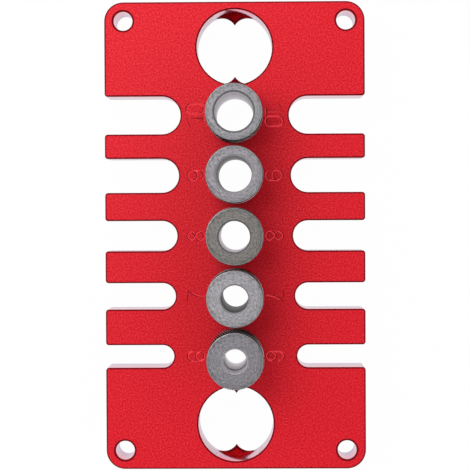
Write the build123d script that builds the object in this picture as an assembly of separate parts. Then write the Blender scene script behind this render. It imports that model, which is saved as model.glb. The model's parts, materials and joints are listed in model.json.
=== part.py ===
from build123d import *
from math import cos, pi, radians, sin, sqrt, tan
import os

# Doweling jig: a flat aluminium plate with five knurled steel drill bushes pressed in along its
# centre line. Millimetres. The underside, which rests on the work, is Z = 0. The bushes run
# along Y, from the widest bore at the +Y end of the row to the narrowest at the -Y end.

# Bore of each bush, in the order of the row
BUSH_BORES = {
    "drill_bush_10": 10.0,
    "drill_bush_9": 9.0,
    "drill_bush_8": 8.0,
    "drill_bush_7": 7.0,
    "drill_bush_6": 6.0,
}

# Drill bush. All five share one outside diameter and one height.
BUSH_WALL = 2.5  # metal round the widest bore, out to the crests of the knurl
KNURL_HEIGHT = 15.0  # how far a bush stands above the plate
KNURL_DEPTH = 0.3  # crest to root
KNURL_PITCH = 0.62  # crest to crest, round the bush
KNURL_LEAN = 5.0  # degrees that the teeth lean from upright
SHANK_RELIEF = 0.05  # the shank is ground this far below the knurl's roots
SHANK_LEAD_IN = 0.5  # bevel that leads the shank into its seat
BORE_BREAK = 0.25  # bevel at both mouths of a bore

# Plate
PLATE_WIDTH = 69.0
PLATE_THICKNESS = 12.0
PLATE_CORNER_RADIUS = 5.0
EDGE_BREAK = 0.4  # bevel round the top edges
BUSH_GAP = 1.0  # clear gap between two neighbouring bushes
FINGER_TIP_RADIUS = 0.8  # corners of the fingers between the slots
SLOT_ROOT_DISTANCE = 19.35  # from the centre line to the centre of a slot's round end
CORNER_HOLE_DIAMETER = 5.0
CORNER_HOLE_INSET = 5.0  # from each of the two nearest edges to the hole's centre

# Sight windows, one past each end of the row
WINDOW_DIAMETER = 20.0
WINDOW_END_WALL = 2.0  # plate left between a window and the end of the plate
WINDOW_BUSH_LAND = 0.5  # plate left between a window and the knurl of the last bush
POINTER_THICKNESS = 2.0
POINTER_REACH = 3.0  # how far a pointer's tip stands in from the window's wall
LOBE_RADIUS = 4.0  # hollow flank of a pointer

# Sizes that follow from those above
crest_radius = max(BUSH_BORES.values()) / 2 + BUSH_WALL
root_radius = crest_radius - KNURL_DEPTH
shank_radius = root_radius - SHANK_RELIEF
bush_top = PLATE_THICKNESS + KNURL_HEIGHT
row_pitch = 2 * crest_radius + BUSH_GAP
row_half = row_pitch * (len(BUSH_BORES) - 1) / 2
window_radius = WINDOW_DIAMETER / 2
window_distance = row_half + crest_radius + WINDOW_BUSH_LAND + window_radius
plate_half_width = PLATE_WIDTH / 2
plate_half_length = window_distance + window_radius + WINDOW_END_WALL
row_places = {name: row_half - row_pitch * step for step, name in enumerate(BUSH_BORES)}

UPRIGHT = (Align.CENTER, Align.CENTER, Align.MIN)


def slot_outline(y, width, side):
    """Round-ended slot that runs in from one long side of the plate, as wide as its dowel."""
    root_x = side * SLOT_ROOT_DISTANCE
    reach = 2 * (plate_half_width - SLOT_ROOT_DISTANCE)
    straight = Pos(root_x + side * reach / 2, y) * Rectangle(reach, width)
    return straight + Pos(root_x, y) * Circle(width / 2)


def plate_outline():
    """Plate seen from above, with its slots and corner holes."""
    outline = RectangleRounded(PLATE_WIDTH, 2 * plate_half_length, PLATE_CORNER_RADIUS)
    for name, width in BUSH_BORES.items():
        for side in (-1, 1):
            outline -= slot_outline(row_places[name], width, side)
    slot_band = row_half + max(BUSH_BORES.values())
    tips = [
        corner
        for corner in outline.vertices()
        if abs(abs(corner.X) - plate_half_width) < EDGE_BREAK and abs(corner.Y) < slot_band
    ]
    outline = fillet(tips, FINGER_TIP_RADIUS)
    hole_x = plate_half_width - CORNER_HOLE_INSET
    hole_y = plate_half_length - CORNER_HOLE_INSET
    for x in (-hole_x, hole_x):
        for y in (-hole_y, hole_y):
            outline -= Pos(x, y) * Circle(CORNER_HOLE_DIAMETER / 2)
    return outline


def window_floor_outline():
    """Lower level of a window: a circle with a hollow-flanked pointer on each side, centred on it."""
    tip = window_radius - POINTER_REACH
    lobe_distance = window_radius - LOBE_RADIUS
    lobe_y = (tip**2 + lobe_distance**2 - LOBE_RADIUS**2) / (2 * tip)
    lobe_x = sqrt(lobe_distance**2 - lobe_y**2)
    touch_x = lobe_x * window_radius / lobe_distance
    touch_y = lobe_y * window_radius / lobe_distance
    crown_y = lobe_y + LOBE_RADIUS
    edges = []
    for end in (-1, 1):
        for side in (-1, 1):
            tip_point = (0, end * tip)
            crown_point = (side * lobe_x, end * crown_y)
            touch_point = (side * touch_x, end * touch_y)
            edges.append(ThreePointArc(tip_point, crown_point, touch_point))
    for side in (-1, 1):
        below = (side * touch_x, -touch_y)
        above = (side * touch_x, touch_y)
        edges.append(ThreePointArc(below, (side * window_radius, 0), above))
    return make_face(edges)


def jig_plate():
    """Plate with its top edges broken, two stepped sight windows and the seats of the bushes."""
    plate = extrude(plate_outline(), PLATE_THICKNESS)
    pocket_depth = PLATE_THICKNESS - POINTER_THICKNESS
    pocket = Pos(0, 0, POINTER_THICKNESS) * Cylinder(window_radius, pocket_depth, align=UPRIGHT)
    window_places = [Pos(0, side * window_distance) for side in (-1, 1)]
    for place in window_places:
        plate -= place * pocket
    top_face = plate.faces().sort_by(Axis.Z)[-1]
    plate = chamfer(top_face.edges(), EDGE_BREAK)
    for place in window_places:
        plate -= extrude(place * window_floor_outline(), POINTER_THICKNESS)
    for y in row_places.values():
        plate -= Pos(0, y) * Cylinder(shank_radius, PLATE_THICKNESS, align=UPRIGHT)
    return plate


def knurl_outline(turn, height):
    """Saw-toothed ring of the knurl at one height, turned by an angle in radians."""
    teeth = round(2 * pi * crest_radius / KNURL_PITCH)
    corners = []
    for step in range(2 * teeth):
        angle = turn + pi * step / teeth
        reach = crest_radius if step % 2 else root_radius
        corners.append((reach * cos(angle), reach * sin(angle), height))
    return Polyline(*corners, close=True).wire()


def knurled_head():
    """Part of a bush above the plate. Seen from above, its teeth turn clockwise on their way up."""
    turn = -KNURL_HEIGHT * tan(radians(KNURL_LEAN)) / crest_radius
    foot = knurl_outline(0, PLATE_THICKNESS)
    face = knurl_outline(turn, bush_top)
    return Solid.make_loft([foot, face], ruled=True)


def shank():
    """Ground part of a bush, pressed into the plate, with a bevel at its foot that leads it in."""
    half_section = [
        (0, 0),
        (shank_radius - SHANK_LEAD_IN, 0),
        (shank_radius, SHANK_LEAD_IN),
        (shank_radius, PLATE_THICKNESS),
        (0, PLATE_THICKNESS),
    ]
    return revolve(Plane.XZ * make_face(Polyline(*half_section, close=True)), Axis.Z)


def bore_cutter(bore_radius):
    """Drill path through a bush, with a bevel at each mouth."""
    mouth_radius = bore_radius + BORE_BREAK
    half_section = [
        (0, 0),
        (mouth_radius, 0),
        (bore_radius, BORE_BREAK),
        (bore_radius, bush_top - BORE_BREAK),
        (mouth_radius, bush_top),
        (0, bush_top),
    ]
    return revolve(Plane.XZ * make_face(Polyline(*half_section, close=True)), Axis.Z)


blank = knurled_head() + shank()
jig = {"jig_plate": jig_plate()}
for name, bore in BUSH_BORES.items():
    jig[name] = Pos(0, row_places[name]) * (blank - bore_cutter(bore / 2))

os.makedirs("parts", exist_ok=True)
for node, shape in jig.items():
    export_step(shape, f"parts/{node}.step")
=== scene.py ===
import bmesh
import bpy
import json
from math import atan2, hypot, pi, radians, tan
from mathutils import Matrix, Vector


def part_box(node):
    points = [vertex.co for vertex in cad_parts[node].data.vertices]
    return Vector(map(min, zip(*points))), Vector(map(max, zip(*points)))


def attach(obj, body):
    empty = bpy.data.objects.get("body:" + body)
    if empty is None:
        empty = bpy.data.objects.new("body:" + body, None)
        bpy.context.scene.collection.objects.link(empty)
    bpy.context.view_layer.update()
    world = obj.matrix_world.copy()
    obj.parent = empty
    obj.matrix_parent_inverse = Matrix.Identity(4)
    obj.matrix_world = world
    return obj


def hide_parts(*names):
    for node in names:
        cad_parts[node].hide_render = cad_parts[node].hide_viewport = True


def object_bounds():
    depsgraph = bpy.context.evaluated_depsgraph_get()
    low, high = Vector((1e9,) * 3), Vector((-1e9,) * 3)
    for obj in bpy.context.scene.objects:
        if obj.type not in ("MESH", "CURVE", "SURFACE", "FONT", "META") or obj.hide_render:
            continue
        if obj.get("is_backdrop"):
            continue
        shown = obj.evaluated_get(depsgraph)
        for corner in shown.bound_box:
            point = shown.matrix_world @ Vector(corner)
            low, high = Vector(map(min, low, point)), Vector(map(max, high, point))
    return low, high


# Doweling jig on a white bench, seen from straight above. Metres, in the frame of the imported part.
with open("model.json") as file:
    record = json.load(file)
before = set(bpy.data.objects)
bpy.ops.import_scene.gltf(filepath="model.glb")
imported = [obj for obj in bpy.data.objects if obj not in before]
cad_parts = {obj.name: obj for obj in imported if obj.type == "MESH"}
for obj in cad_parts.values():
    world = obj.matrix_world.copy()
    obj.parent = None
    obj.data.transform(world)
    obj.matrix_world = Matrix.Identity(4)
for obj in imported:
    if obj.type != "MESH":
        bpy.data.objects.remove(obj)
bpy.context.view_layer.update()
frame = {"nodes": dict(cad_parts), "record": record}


# The plate. One slab of aluminium, milled to its outline, bead-blasted all over and then dyed
# bright red by anodising. Its edges were broken with a small bevel after the blasting, so they
# are smooth. The bevels carry a dark maroon, painted shade, beside the faces. It carries everything
# else.
MM = 0.001
MERGE = 0.001 * MM  # corners nearer than this are one corner
SAME_PLANE = radians(0.5)  # faces that turn by less than this are one face
SHARP = radians(45)  # an edge that turns by more than this is sharp
LEVEL_NORMAL = 0.999  # a face is level where its normal is more upright than this
WALL_NORMAL = 0.3  # and a wall where its normal is less upright than this
LOWER_EDGE_BREAK = 0.3 * MM
SEAT_MARGIN = 0.3 * MM  # edges this near to a bush belong to its seat and stay sharp
OUTLINE_MARGIN = 0.01 * MM  # a face this near to the outline's box belongs to the outline
CORNER_RADIUS = 5 * MM
CORNER_HOLE_INSET = 5 * MM  # from each of the two nearest edges
HOLE_RIM_REACH = 3.25 * MM  # top edges nearer than this to a corner hole's middle are its rim
HOLE_EDGE_SOFTENING = 0.12 * MM
WINDOW_DISTANCE = 50 * MM  # from the middle of the plate to the middle of a sight window
WINDOW_RADIUS = 10 * MM
POINTER_THICKNESS = 2 * MM
POINTER_EDGE_BREAK = 0.5 * MM
POINTER_END = 0.6 * MM  # a pointer's top edge stays sharp this near to its window's wall
POINTER_STAND_IN = 0.1 * MM  # a wall further in than this bounds a pointer
plate_low, plate_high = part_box("jig_plate")


def size_of(name):
    """Bore of a bush in millimetres, which ends its name."""
    return name.split("_")[-1]


bush_names = sorted((name for name in frame["nodes"] if name.startswith("drill_bush")),
                    key=lambda name: -int(size_of(name)))
bush_boxes = {name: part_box(name) for name in bush_names}
bush_centres = {name: (low + high) / 2 for name, (low, high) in bush_boxes.items()}
bush_radius = max((high.y - low.y) / 2 for low, high in bush_boxes.values())


def work_on(piece):
    """Makes a piece the only selected one and the active one."""
    bpy.ops.object.select_all(action="DESELECT")
    piece.select_set(True)
    bpy.context.view_layer.objects.active = piece


def select_in(piece, kind, wanted):
    """In edit mode, selects only the corners, edges or faces that a test picks."""
    shape = bmesh.from_edit_mesh(piece.data)
    bpy.ops.mesh.select_mode(type=kind)
    bpy.ops.mesh.select_all(action="DESELECT")
    for element in {"VERT": shape.verts, "EDGE": shape.edges, "FACE": shape.faces}[kind]:
        element.select_set(wanted(element))
    bmesh.update_edit_mesh(piece.data)


def from_axis(axis, place):
    """How far a place lies from an upright axis."""
    return hypot(place.x - axis.x, place.y - axis.y)


def inside_window(place):
    """How far a place stands in from the round wall of the nearest window."""
    return WINDOW_RADIUS - hypot(place.x, abs(place.y) - WINDOW_DISTANCE)


def is_level(face):
    return abs(face.normal.z) > LEVEL_NORMAL


def is_wall(face):
    return abs(face.normal.z) < WALL_NORMAL


def lies_at(edge, height):
    return all(abs(corner.co.z - height) < MERGE for corner in edge.verts)


def is_rim_at(edge, height):
    """Sharp edge that lies at one height."""
    return lies_at(edge, height) and edge.calc_face_angle(0) > SHARP


def is_lower_rim(edge):
    """Edge between the underside and a wall, away from the seats of the bushes."""
    seat_reach = bush_radius + SEAT_MARGIN
    return is_rim_at(edge, plate_low.z) and all(
        from_axis(axis, corner.co) > seat_reach
        for corner in edge.verts for axis in bush_centres.values())


def is_hole_rim(edge):
    """Outer edge of the bevel round a corner hole."""
    middle = (edge.verts[0].co + edge.verts[1].co) / 2
    from_hole = hypot(plate_high.x - CORNER_HOLE_INSET - abs(middle.x),
                      plate_high.y - CORNER_HOLE_INSET - abs(middle.y))
    return lies_at(edge, plate_high.z) and from_hole < HOLE_RIM_REACH


def is_pointer_rim(edge):
    """Top edge of a pointer, but for its ends, where it is too thin to be bevelled."""
    return is_rim_at(edge, POINTER_THICKNESS) and all(
        inside_window(corner.co) > POINTER_END for corner in edge.verts)


plate = bpy.data.objects.new("anodised_plate", frame["nodes"]["jig_plate"].data.copy())
plate.data.materials.clear()
bpy.context.scene.collection.objects.link(plate)
work_on(plate)
bpy.ops.object.mode_set(mode="EDIT")
bpy.ops.mesh.select_all(action="SELECT")
bpy.ops.mesh.remove_doubles(threshold=MERGE)
select_in(plate, "FACE", is_level)
bpy.ops.mesh.dissolve_limited(angle_limit=SAME_PLANE)
select_in(plate, "FACE", lambda face: not is_level(face))
bpy.ops.mesh.tris_convert_to_quads(face_threshold=SAME_PLANE, shape_threshold=pi)
for is_rim, width in (
    (is_lower_rim, LOWER_EDGE_BREAK),
    (is_pointer_rim, POINTER_EDGE_BREAK),
    (is_hole_rim, HOLE_EDGE_SOFTENING),
):
    select_in(plate, "EDGE", is_rim)
    bpy.ops.mesh.bevel(offset=width, segments=1, clamp_overlap=False)
bpy.ops.object.mode_set(mode="OBJECT")


def wired(tree, kind, *sources, **settings):
    """A new node, its inputs set in their order: to a value, to another node's output, or left."""
    node = tree.nodes.new("ShaderNode" + kind)
    for name, value in settings.items():
        setattr(node, name, value)
    for socket, source in zip(node.inputs, sources):
        if isinstance(source, bpy.types.NodeSocket):
            tree.links.new(source, socket)
        elif source is not None:
            socket.default_value = source
    return node


def maths(tree, kind, *sources):
    """Result of one step of arithmetic."""
    return wired(tree, "Math", *sources, operation=kind).outputs[0]


def noise(tree, place, scale, detail, roughness, fourth=None, **settings):
    """Noise from 0 to 1 at a place and, where one is given, at a fourth coordinate."""
    return wired(tree, "TexNoise", place, fourth, scale, detail, roughness, **settings).outputs["Fac"]


def share_between(tree, value, low, high):
    """How far a value has come from a low one to a high one, from 0 to 1."""
    return wired(tree, "MapRange", value, low, high).outputs["Result"]


def mixed_colour(tree, share, first, second):
    """Colour that goes from the first to the second as a share goes from 0 to 1."""
    mix = wired(tree, "Mix", data_type="RGBA")
    tree.links.new(share, mix.inputs["Factor"])
    mix.inputs["A"].default_value = first
    mix.inputs["B"].default_value = second
    return mix.outputs["Result"]


def group_with(name, inputs, outputs):
    """Empty shader node group with named sockets, and its two end nodes."""
    group = bpy.data.node_groups.new(name, "ShaderNodeTree")
    for label, value in inputs.items():
        socket = group.interface.new_socket(label, in_out="INPUT", socket_type="NodeSocketFloat")
        socket.default_value = value
    for label, kind in outputs.items():
        group.interface.new_socket(label, in_out="OUTPUT", socket_type="NodeSocket" + kind)
    return group, group.nodes.new("NodeGroupInput"), group.nodes.new("NodeGroupOutput")


def pressed_in(group, given, made, pattern):
    """Bumps a surface by a pattern, and gives back the pattern as a tone about one."""
    bump = wired(group, "Bump", 1.0, given.outputs["Depth"])
    group.links.new(pattern, bump.inputs["Height"])
    group.links.new(bump.outputs["Normal"], made.inputs["Normal"])
    about_zero = maths(group, "SUBTRACT", pattern, 0.5)
    return maths(group, "MULTIPLY_ADD", about_zero, given.outputs["Contrast"], 1.0)


GLINT_POWER = 6.0  # pale dimples glint more than dark ones, by this power of their tone
GLINT_LEVEL = 0.45  # specular level of a dimple of middle tone


def grain_of_beads():
    """Grain that the blasting beads leave: fine dimples, each with its own light and dark."""
    group, given, made = group_with(
        "blasted_grain",
        {"Dimple Size": 0.4 * MM, "Depth": 0.01 * MM, "Contrast": 1.0},
        {"Tone": "Float", "Normal": "Vector", "Glint": "Float"})
    where = wired(group, "TexCoord").outputs["Object"]
    per_metre = maths(group, "DIVIDE", 1.0, given.outputs["Dimple Size"])
    dimples = noise(group, where, scale=per_metre, detail=2.0, roughness=0.6)
    tone = pressed_in(group, given, made, dimples)
    group.links.new(tone, made.inputs["Tone"])
    glint = maths(group, "POWER", tone, GLINT_POWER)
    group.links.new(maths(group, "MULTIPLY", glint, GLINT_LEVEL), made.inputs["Glint"])
    return group


def shader_of(material):
    return material.node_tree.nodes["Principled BSDF"]


def finish(name, group, metallic, roughness, colour=(1.0, 1.0, 1.0), **values):
    """Material whose colour and normal carry the pattern of a group."""
    material = bpy.data.materials.new(name)
    material.use_nodes = True
    tree = material.node_tree
    shader = shader_of(material)
    shader.inputs["Metallic"].default_value = metallic
    shader.inputs["Roughness"].default_value = roughness
    pattern = tree.nodes.new("ShaderNodeGroup")
    pattern.node_tree = group
    for label, value in values.items():
        pattern.inputs[label.replace("_", " ").title()].default_value = value
    toned = wired(tree, "VectorMath", colour, operation="SCALE")
    tree.links.new(pattern.outputs["Tone"], toned.inputs["Scale"])
    tree.links.new(toned.outputs["Vector"], shader.inputs["Base Color"])
    tree.links.new(pattern.outputs["Normal"], shader.inputs["Normal"])
    if "Glint" in pattern.outputs:
        tree.links.new(pattern.outputs["Glint"], shader.inputs["Specular IOR Level"])
    return material


def cover(piece, material, wanted=lambda face: True):
    """Gives a material to the faces that a test picks."""
    piece.data.materials.append(material)
    slot = len(piece.data.materials) - 1
    for face in piece.data.polygons:
        if wanted(face):
            face.material_index = slot


blasted_grain = grain_of_beads()
blasted_red = finish("blasted_red", blasted_grain, metallic=0.1, roughness=0.6,
                     colour=(0.83, 0.0, 0.014),
                     dimple_size=0.4 * MM, depth=0.012 * MM, contrast=0.8)
# painted shade: dark maroon on the broken edges, the pointers' edges and the shelves beside the
# bushes
painted_shade_red = finish("painted_shade_red", blasted_grain, metallic=0.0, roughness=0.7,
                         colour=(0.22, 0.0, 0.006),
                         dimple_size=0.5 * MM, depth=0.003 * MM, contrast=0.3)
shader_of(painted_shade_red).inputs["IOR"].default_value = 1.2
shelf_red = finish("shelf_red", blasted_grain, metallic=0.7, roughness=0.6,
                   colour=(0.65, 0.0, 0.004),
                   dimple_size=0.6 * MM, depth=0.004 * MM, contrast=0.4)

WALL_TOP_RED = (1.0, 0.16, 0.24, 1)
# painted shade: the walls' red darkens towards their foot, for the shadowed bench that they mirror
# there
WALL_FOOT_SHADE_RED = (0.55, 0.2, 0.36, 1)
WALL_SHEEN = (0.9, 1.0, 1.0, 1)  # at a glancing angle the dye shows less
WALL_SHADE_UP_TO = 0.35  # share of the plate's height up to which the walls keep their full painted shade; above it they turn paler towards the top


def wall_finish():
    """The walls were milled smooth, so they mirror the bench. Painted shade darkens their red towards
    the foot, where they would mirror the bench in the plate's shadow.
    """
    material = finish("milled_red", blasted_grain, metallic=1.0, roughness=0.18,
                      dimple_size=0.6 * MM, depth=0.0001 * MM, contrast=0.15)
    tree = material.node_tree
    height = wired(tree, "SeparateXYZ", wired(tree, "TexCoord").outputs["Object"]).outputs["Z"]
    climb = share_between(tree, height, WALL_SHADE_UP_TO * plate_high.z, plate_high.z)
    toned = next(node for node in tree.nodes if node.type == "VECT_MATH")
    tree.links.new(mixed_colour(tree, climb, WALL_FOOT_SHADE_RED, WALL_TOP_RED), toned.inputs["Vector"])
    shader_of(material).inputs["Specular Tint"].default_value = WALL_SHEEN
    return material


def is_inner_wall(face):
    """Wall of a slot, a hole or a window, and not of the plate's own outline."""
    inset = Vector((plate_high.x - abs(face.center.x), plate_high.y - abs(face.center.y)))
    outward = face.normal.x * face.center.x > 0 and face.normal.y * face.center.y > 0
    at_corner = max(inset) < CORNER_RADIUS and outward
    return is_wall(face) and min(inset) > OUTLINE_MARGIN and not at_corner


def is_shelf(face):
    """Top of a pointer, low in its window."""
    return is_level(face) and face.normal.z > 0 and face.center.z < plate_high.z / 2


def is_shade_painted_shelf(face):
    """Pointer beside a bush, darkened with painted shade for the bush and wall that shade it."""
    return is_shelf(face) and abs(face.center.y) < WINDOW_DISTANCE


def is_pointer_edge(face):
    """Wall that bounds a pointer, which stands in from the wall of its window."""
    return (is_wall(face) and face.center.z < POINTER_THICKNESS
            and inside_window(face.center) > POINTER_STAND_IN)


def is_painted_shade(face):
    """Broken edge, edge of a pointer or shelf beside a bush: the faces that carry the painted shade.
    """
    is_bevel = not is_level(face) and not is_wall(face)
    return is_bevel or is_pointer_edge(face) or is_shade_painted_shelf(face)


cover(plate, blasted_red)
cover(plate, wall_finish(), is_inner_wall)
cover(plate, shelf_red, is_shelf)
cover(plate, painted_shade_red, is_painted_shade)


# The figures. Each pair of slots is marked with the dowel that it takes, cut one line wide into
# the top of the plate with a ball-ended engraving cutter before the dyeing. A figure stands on
# each side of the row, turned so that its foot points at the bush.
FIGURE_DISTANCE = 10.5 * MM  # from the centre line to the middle of a figure
CUTTER_RADIUS = 0.3 * MM
CUTTER_DEPTH = 0.09 * MM
CUTTER_ROUNDNESS = 2  # how finely the cutter's round section is divided
ARC_STEP = radians(7.5)
FIGURE_SMOOTHING = radians(20)  # edges that turn by less than this are shaded as one surface
# A stroke is its start, then straight lines to a point and turns about a point by so many
# degrees, in millimetres from the middle of the upright figure.
FIGURES = {
    "10": [
        [(-0.88, -2.25), ("line", -0.88, 2.25), ("line", -3.1, 1.1)],
        [(-1.9, -2.25), ("line", 0.3, -2.25)],
        [(2.97, -1.0), ("line", 2.97, 1.0), ("turn", 1.67, 1.0, 180), ("line", 0.37, -1.0),
         ("turn", 1.67, -1.0, 180)],
    ],
    "9": [
        [(1.3, 0.8), ("turn", 0, 0.8, 360)],
        [(1.3, 0.8), ("line", 1.3, -1.0), ("turn", 0.1, -1.0, -150)],
    ],
    "8": [
        [(1.0, 1.22), ("turn", 0, 1.22, 360)],
        [(1.12, -1.1), ("turn", 0, -1.1, 360)],
    ],
    "7": [
        [(-1.6, 2.1), ("line", 1.35, 2.1), ("turn", 6.96, -2.35, 38.4)],
    ],
    "6": [
        [(1.15, -1.0), ("turn", 0, -1.0, 360)],
        [(1.15, 0.7), ("turn", 0, 1.05, 197), ("line", -1.15, -1.0)],
    ],
}
engraved_red = finish("engraved_red", blasted_grain, metallic=0.8, roughness=0.25,
                      colour=(0.82, 0.04, 0.058),
                      dimple_size=0.4 * MM, depth=0.002 * MM, contrast=0.4)


def start_point(name, place):
    """New piece that is a single point, in edit mode, ready to be drawn out."""
    bpy.ops.object.select_all(action="DESELECT")
    bpy.ops.mesh.primitive_plane_add(size=MM)
    bpy.context.object.name = name
    bpy.ops.object.mode_set(mode="EDIT")
    bpy.ops.mesh.select_mode(type="VERT")
    bpy.ops.mesh.select_all(action="SELECT")
    bpy.ops.mesh.merge(type="CENTER")
    bpy.ops.transform.translate(value=place)
    return bpy.context.object


def stroke_cutter(stroke):
    """Round bar along one stroke, about the middle of its figure."""
    pen = Vector((*stroke[0], 0)) * MM
    cutter = start_point("stroke", pen)
    for kind, x, y, *turned in stroke[1:]:
        point = Vector((x, y, 0)) * MM
        if kind == "line":
            bpy.ops.mesh.extrude_region_move(TRANSFORM_OT_translate={"value": point - pen})
            pen = point
        else:
            angle = radians(turned[0])
            arc_steps = round(abs(angle) / ARC_STEP)
            bpy.ops.mesh.spin(steps=arc_steps, angle=-angle, center=point, axis=(0, 0, 1))
            pen = point + Matrix.Rotation(angle, 3, "Z") @ (pen - point)
    bpy.ops.mesh.select_all(action="SELECT")
    bpy.ops.mesh.remove_doubles(threshold=MERGE)
    bpy.ops.object.mode_set(mode="OBJECT")
    bpy.ops.object.convert(target="CURVE")
    cutter.data.bevel_depth = CUTTER_RADIUS
    cutter.data.bevel_resolution = CUTTER_ROUNDNESS
    cutter.data.use_fill_caps = True
    bpy.ops.object.convert(target="MESH")
    cutter.data.materials.append(engraved_red)
    return cutter


def cut_from(piece, cutter):
    """Cuts one closed mesh out of another and removes the cutter."""
    work_on(piece)
    cut = piece.modifiers.new("cut", "BOOLEAN")
    cut.operation = "DIFFERENCE"
    cut.solver = "EXACT"
    cut.material_mode = "TRANSFER"
    cut.object = cutter
    bpy.ops.object.modifier_apply(modifier=cut.name)
    bpy.data.objects.remove(cutter)


def engrave(figure, side, y):
    """Cuts a figure into the plate at one place along the row, on one side of it."""
    cutter_height = plate_high.z + CUTTER_RADIUS - CUTTER_DEPTH
    for stroke in figure:
        cutter = stroke_cutter(stroke)
        cutter.rotation_euler.z = -side * pi / 2
        cutter.location = (side * FIGURE_DISTANCE, y, cutter_height)
        bpy.ops.object.transform_apply(location=True, rotation=True, scale=True)
        cut_from(plate, cutter)


for name, centre in bush_centres.items():
    for side in (-1, 1):
        engrave(FIGURES[size_of(name)], side, centre.y)

work_on(plate)
bpy.ops.object.shade_smooth_by_angle(angle=FIGURE_SMOOTHING)
for face in plate.data.polygons:
    if is_level(face):
        face.use_smooth = False
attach(plate, "root")
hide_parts("jig_plate")


# The drill bushes. Five sleeves of hardened steel in one outside size, each turned and knurled
# above and ground below, and pressed into the plate until they are flush with its underside.
# The rolled teeth lean, and the rim is turned back to their roots with a burnished edge.
KNURL_PITCH = 0.62 * MM
KNURL_DEPTH = 0.3 * MM
KNURL_LEAN = radians(5)
KNURL_RINGS = 6  # rings of points up the teeth, which lean with them
TOOTH = (0, 0.8, 1, 1, 0.8)  # share of the depth at each step round one tooth
RIM_BEVEL = 0.3 * MM
RIM_STAND_OUT = 0.07 * MM  # the rim's edge lies this far outside the roots of the teeth
RIM_LAND = 0.02 * MM  # between a groove and the rim
BURNISH_WIDTH = 0.1 * MM
BURNISH_DROP = 0.05 * MM
SHANK_RELIEF = 0.05 * MM
SHANK_LEAD_IN = 0.5 * MM
FOOT_BREAK = 0.25 * MM
MOUTH_DEPTH = 2 * MM  # slopes in a bore that lie deeper than this belong to a groove
TURNED_SMOOTHING = radians(10)  # edges that turn by less than this are shaded as one surface
teeth = round(2 * pi * bush_radius / KNURL_PITCH)
knurl_steps = len(TOOTH) * teeth
root_radius = bush_radius - KNURL_DEPTH
shank_radius = root_radius - SHANK_RELIEF
rim_radius = root_radius + RIM_STAND_OUT
face_radius = rim_radius - BURNISH_WIDTH
rim_depth = bush_radius - rim_radius - RIM_LAND  # the grooves run out towards the rim
groove_climb = RIM_BEVEL - 2 * BURNISH_DROP  # and end this much higher than the crests
bore_radii = {size_of(mount["name"]): mount["dims"]["r_mm"] * MM
              for mount in frame["record"]["mounts"] if mount["kind"] == "bore"}
# Mouth of each bore, from its wall up to the face: how far out and how far down, in millimetres
MOUTHS = {
    "10": [(0.0, 0.35), (0.5, 0.0)],
    "9": [(0.0, 0.5), (0.2, 0.2), (0.65, 0.0)],
    "8": [(0.0, 0.2), (0.4, 0.0)],
    "7": [(0.0, 0.2), (0.35, 0.0)],
    "6": [(0.0, 9.2), (0.4, 8.2), (0.0, 7.2), (0.0, 1.6), (0.15, 0.35), (0.15, 0.3), (0.4, 0.0)],
}


def half_section(size, foot, top, ring_heights):
    """A bush as points of (radius, height), from its foot up the outside and down the bore."""
    bore_radius = bore_radii[size]
    return [
        (bore_radius + FOOT_BREAK, foot),
        (shank_radius - SHANK_LEAD_IN, foot),
        (shank_radius, foot + SHANK_LEAD_IN),
        (shank_radius, plate_high.z),
        *((bush_radius, height) for height in ring_heights),
        (rim_radius, top - BURNISH_DROP),
        (face_radius, top),
        *((bore_radius + out * MM, top - down * MM) for out, down in reversed(MOUTHS[size])),
        (bore_radius, foot + FOOT_BREAK),
    ]


def turned_sleeve(name, axis, profile):
    """Closed ring of metal, spun about an upright axis from its half section."""
    here = Vector((profile[0][0], 0, profile[0][1]))
    sleeve = start_point(name, Vector((axis.x, axis.y, 0)) + here)
    for radius, height in profile[1:] + profile[:1]:
        there = Vector((radius, 0, height))
        bpy.ops.mesh.extrude_region_move(TRANSFORM_OT_translate={"value": there - here})
        here = there
    bpy.ops.mesh.select_all(action="SELECT")
    bpy.ops.mesh.spin(steps=knurl_steps, angle=2 * pi, center=(axis.x, axis.y, 0), axis=(0, 0, 1))
    bpy.ops.mesh.select_all(action="SELECT")
    bpy.ops.mesh.remove_doubles(threshold=MERGE)
    bpy.ops.mesh.normals_make_consistent(inside=False)
    return sleeve


def roll_knurl(bush, axis, ring_heights):
    """Presses the teeth into the outside of a bush and leans them."""
    middle = (axis.x, axis.y, 0)
    under_rim = ring_heights[-1] - MERGE

    def on_tooth(corner, step):
        """Whether a corner on the outside is at one of the steps round a tooth."""
        turn = atan2(corner.co.y - axis.y, corner.co.x - axis.x)
        its_step = round(turn * knurl_steps / (2 * pi)) % len(TOOTH)
        return from_axis(axis, corner.co) > bush_radius - MERGE and its_step == step

    def press(depth):
        shrink = 1 - depth / bush_radius
        bpy.ops.transform.resize(value=(shrink, shrink, 1), center_override=middle)

    for step, share in enumerate(TOOTH):
        select_in(bush, "VERT", lambda corner: corner.co.z > under_rim and on_tooth(corner, step))
        bpy.ops.transform.translate(value=(0, 0, share * groove_climb))
        press(share * rim_depth)
        select_in(bush, "VERT", lambda corner: corner.co.z < under_rim and on_tooth(corner, step))
        press(share * KNURL_DEPTH)
    turn = (ring_heights[1] - ring_heights[0]) * tan(KNURL_LEAN) / bush_radius
    for height in ring_heights[1:]:
        select_in(bush, "VERT", lambda corner: corner.co.z > height - MERGE
                  and from_axis(axis, corner.co) > root_radius - KNURL_DEPTH)
        bpy.ops.transform.rotate(value=turn, orient_axis="Z", center_override=middle)


MARKS_ACROSS = 7  # about how many different marks one ring runs through from side to side
FADE_FROM = 0.8  # share of a bush's radius at which its face starts to fade towards the rim
row_pitch = bush_centres[bush_names[0]].y - bush_centres[bush_names[1]].y


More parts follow.
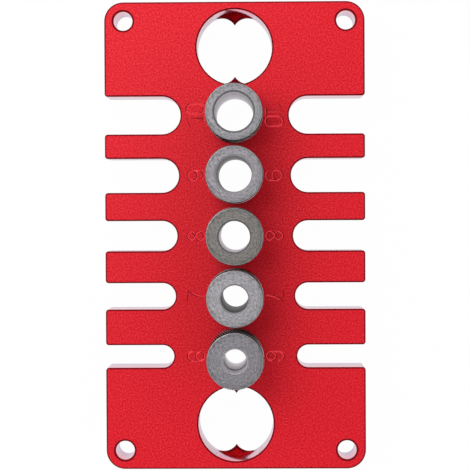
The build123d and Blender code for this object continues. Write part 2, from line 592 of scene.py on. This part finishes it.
def marks_of_lathe():
    """Fine rings about the axis of the nearest bush, on its faces and in its bore.

    The bushes stand one pitch apart, so folding Y by the pitch sets each about its own axis.
    """
    group, given, made = group_with(
        "turning_marks",
        {"Ring Size": 0.2 * MM, "Depth": 0.01 * MM, "Contrast": 0.3, "Fade": 0.0},
        {"Tone": "Float", "Normal": "Vector", "Radius": "Float"})
    ring_size = given.outputs["Ring Size"]
    where = wired(group, "TexCoord").outputs["Object"]
    from_first = wired(group, "Mapping", where, -bush_centres[bush_names[0]]).outputs["Vector"]
    place = wired(group, "SeparateXYZ", from_first).outputs
    folded = maths(group, "WRAP", place["Y"], row_pitch / 2, -row_pitch / 2)
    outward = wired(group, "CombineXYZ", place["X"], folded).outputs["Vector"]
    radius = wired(group, "VectorMath", outward, operation="LENGTH").outputs["Value"]
    heading = wired(group, "VectorMath", outward, operation="NORMALIZE").outputs["Vector"]
    heading_parts = wired(group, "SeparateXYZ", heading).outputs
    across = maths(group, "DIVIDE", radius, ring_size)
    up = maths(group, "DIVIDE", place["Z"], ring_size)
    around = [maths(group, "MULTIPLY", heading_parts[axis], MARKS_ACROSS) for axis in "XY"]
    ring_place = wired(group, "CombineXYZ", *around, across).outputs["Vector"]
    rings = noise(group, ring_place, scale=1.0, detail=3.0, roughness=0.6,
                  fourth=up, noise_dimensions="4D")
    tone = pressed_in(group, given, made, rings)
    near_rim = share_between(group, radius, FADE_FROM * bush_radius, bush_radius)
    fading = maths(group, "MULTIPLY", given.outputs["Fade"], near_rim)
    group.links.new(maths(group, "SUBTRACT", tone, fading), made.inputs["Tone"])
    group.links.new(radius, made.inputs["Radius"])
    return group


turning_marks = marks_of_lathe()
burnished_steel = finish("burnished_steel", turning_marks, metallic=1.0, roughness=0.4,
                         colour=(0.42, 0.41, 0.42),
                         ring_size=0.1 * MM, depth=0.001 * MM, contrast=0.3)
ground_steel = finish("ground_steel", turning_marks, metallic=1.0, roughness=0.3,
                      colour=(0.4, 0.39, 0.4),
                      ring_size=0.1 * MM, depth=0.004 * MM, contrast=0.4)
bevel_steel = finish("bevel_steel", turning_marks, metallic=0.8, roughness=0.5,
                     colour=(0.025, 0.023, 0.025),
                     ring_size=0.1 * MM, depth=0.004 * MM, contrast=0.4)

GROOVE_BLACK = (0.004, 0.004, 0.004, 1)
CREST_GREY = (0.68, 0.66, 0.66, 1)
GREY_FROM = 0.7  # share of the teeth's height at which the black starts to turn grey
GREY_ABOVE = 0.9  # and above which it is all grey


def knurl_finish():
    """The knurl is black in its grooves and grey on its crests."""
    material = finish("knurled_steel", turning_marks, metallic=0.0, roughness=0.6,
                      ring_size=0.3 * MM, depth=0.004 * MM, contrast=0.5)
    shader = shader_of(material)
    shader.inputs["Specular IOR Level"].default_value = 0.05
    tree = material.node_tree
    marks = next(node for node in tree.nodes if node.type == "GROUP")
    crest = share_between(tree, marks.outputs["Radius"], root_radius + GREY_FROM * KNURL_DEPTH,
                          root_radius + GREY_ABOVE * KNURL_DEPTH)
    tree.links.new(mixed_colour(tree, crest, GROOVE_BLACK, CREST_GREY), shader.inputs["Base Color"])
    return material


knurled_steel = knurl_finish()

# Face, mouth and bore of each bush, each with its own greys.
FACE_GREYS = {
    "10": (0.41, 0.40, 0.42),
    "9": (0.42, 0.40, 0.43),
    "8": (0.30, 0.285, 0.27),
    "7": (0.52, 0.50, 0.53),
    "6": (0.40, 0.38, 0.41),
}
MOUTH_GREYS = {
    "10": (0.2, 0.19, 0.2),
    "9": (0.36, 0.34, 0.36),
    "8": (0.16, 0.15, 0.16),
    "7": (0.3, 0.28, 0.3),
    "6": (0.5, 0.48, 0.5),
}
BORE_GREYS = {
    "10": (0.7, 0.66, 0.7),
    "9": (0.2, 0.18, 0.2),
    "8": (0.85, 0.82, 0.85),
    "7": (0.015, 0.012, 0.015),
    "6": (0.8, 0.76, 0.8),
}


def cover_bush(bush, size, axis, top):
    """Gives the ground, knurled, turned and reamed faces of a bush each their own steel."""
    mouth_radius = bore_radii[size] + max(out for out, down in MOUTHS[size]) * MM
    turned_face = finish("turned_face_" + size, turning_marks, metallic=1.0, roughness=0.55,
                         colour=FACE_GREYS[size],
                         ring_size=0.25 * MM, depth=0.008 * MM, contrast=2.6, fade=0.3)
    turned_mouth = finish("turned_mouth_" + size, turning_marks, metallic=1.0, roughness=0.7,
                          colour=MOUTH_GREYS[size],
                          ring_size=0.2 * MM, depth=0.004 * MM, contrast=0.4)
    reamed_bore = finish("reamed_bore_" + size, turning_marks, metallic=0.8, roughness=0.5,
                         colour=BORE_GREYS[size],
                         ring_size=0.5 * MM, depth=0.004 * MM, contrast=0.35)

    def is_outside(face):
        return face.center.z > plate_high.z and from_axis(axis, face.center) > shank_radius

    def is_rim_bevel(face):
        return face.center.z > top - RIM_BEVEL and not is_level(face)

    def is_burnished(face):
        return face.center.z > top - BURNISH_DROP and from_axis(axis, face.center) > face_radius

    def is_face(face):
        return face.center.z > top - MERGE and is_level(face)

    def in_bore(face):
        return from_axis(axis, face.center) < mouth_radius

    def is_mouth(face):
        return in_bore(face) and face.normal.z > 0 and not is_level(face)

    def is_bore_wall(face):
        return in_bore(face) and is_wall(face)

    def is_groove(face):
        return (in_bore(face) and not is_wall(face)
                and plate_high.z < face.center.z < top - MOUTH_DEPTH)

    cover(bush, ground_steel)
    cover(bush, knurled_steel, is_outside)
    cover(bush, bevel_steel, is_rim_bevel)
    cover(bush, burnished_steel, is_burnished)
    cover(bush, turned_face, is_face)
    cover(bush, turned_mouth, is_mouth)
    cover(bush, reamed_bore, is_bore_wall)
    cover(bush, bevel_steel, is_groove)


for name, centre in bush_centres.items():
    size = size_of(name)
    low, high = bush_boxes[name]
    knurl_height = high.z - RIM_BEVEL - plate_high.z
    ring_heights = [plate_high.z + knurl_height * ring / KNURL_RINGS
                    for ring in range(KNURL_RINGS + 1)]
    bush = turned_sleeve("bush_" + size, centre, half_section(size, low.z, high.z, ring_heights))
    roll_knurl(bush, centre, ring_heights)
    bpy.ops.object.mode_set(mode="OBJECT")
    bpy.ops.object.shade_smooth_by_angle(angle=TURNED_SMOOTHING)
    cover_bush(bush, size, centre, high.z)
    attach(bush, "root")
    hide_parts(name)


# The bench: a white board that runs on past the view, with nothing else on it.
BENCH_SIZE = 6
BENCH_CLEARANCE = 0.05 * MM  # the board lies this far under the plate, so the two never coincide
BENCH_WHITE = (0.9, 0.9, 0.9, 1)
BENCH_GLOW = 0.985  # share of plain white, over the lit board, that the camera and reflections see
bpy.ops.object.select_all(action="DESELECT")
bench_place = (0, 0, plate_low.z - BENCH_CLEARANCE)
bpy.ops.mesh.primitive_plane_add(size=BENCH_SIZE, location=bench_place)
bench = bpy.context.object
bench.name = "bench"
bench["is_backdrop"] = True


def bench_finish():
    """Matt white under the lamp, lifted to plain white for what the camera and reflections see."""
    material = bpy.data.materials.new("bench_white")
    material.use_nodes = True
    tree = material.node_tree
    board = shader_of(material)
    board.inputs["Base Color"].default_value = BENCH_WHITE
    board.inputs["Roughness"].default_value = 0.8
    path = tree.nodes.new("ShaderNodeLightPath").outputs
    seen = maths(tree, "MAXIMUM", path["Is Camera Ray"], path["Is Glossy Ray"])
    seen = maths(tree, "MAXIMUM", seen, path["Is Transmission Ray"])
    share = maths(tree, "MULTIPLY", seen, BENCH_GLOW)
    white = wired(tree, "Emission").outputs["Emission"]
    look = wired(tree, "MixShader", share, board.outputs["BSDF"], white).outputs["Shader"]
    tree.links.new(look, tree.nodes["Material Output"].inputs["Surface"])
    return material


bench.data.materials.append(bench_finish())


# The light: a pale room, dimmer overhead where the camera hangs, and one large soft lamp high at
# the upper left.
ROOM_WALLS = 1.6
ROOM_OVERHEAD = 0.0
DIM_FROM = 0.25  # how upright a direction is, from 0 level to 1 straight up, where the dimming starts
DIM_TO = 0.95  # and where it ends


def light_room():
    """Sets the room's light, and plain white for what the camera sees past the bench."""
    room = bpy.data.worlds.new("room")
    bpy.context.scene.world = room
    room.use_nodes = True
    tree = room.node_tree
    direction = wired(tree, "TexCoord").outputs["Generated"]
    upright = wired(tree, "SeparateXYZ", direction).outputs["Z"]
    overhead = wired(tree, "MapRange", upright, DIM_FROM, DIM_TO, ROOM_WALLS, ROOM_OVERHEAD)
    path = tree.nodes.new("ShaderNodeLightPath").outputs
    strength = maths(tree, "MAXIMUM", path["Is Camera Ray"], overhead.outputs["Result"])
    background = tree.nodes["Background"]
    tree.links.new(strength, background.inputs["Strength"])
    background.inputs["Color"].default_value = (1, 1, 1, 1)


light_room()
key = bpy.data.lights.new("key", "AREA")
key.shape = "DISK"
key.size = 0.3
key.energy = 0.68
key_lamp = bpy.data.objects.new("key", key)
bpy.context.scene.collection.objects.link(key_lamp)
key_lamp.location = (-0.16, 0.15, 0.36)
key_lamp.rotation_euler = (-key_lamp.location).to_track_quat("-Z", "Y").to_euler()


# The camera, straight above and a touch off the middle of the plate.
view = bpy.data.cameras.new("camera")
view.sensor_width = 36
view.lens = 121.3
camera = bpy.data.objects.new("camera", view)
bpy.context.scene.collection.objects.link(camera)
camera.location = (0.0062, 0.00668, 0.432)
camera.rotation_euler = (radians(-0.888), radians(0.848), radians(-0.265))
bpy.context.scene.camera = camera
bpy.context.scene.view_settings.view_transform = "Standard"

low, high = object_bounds()
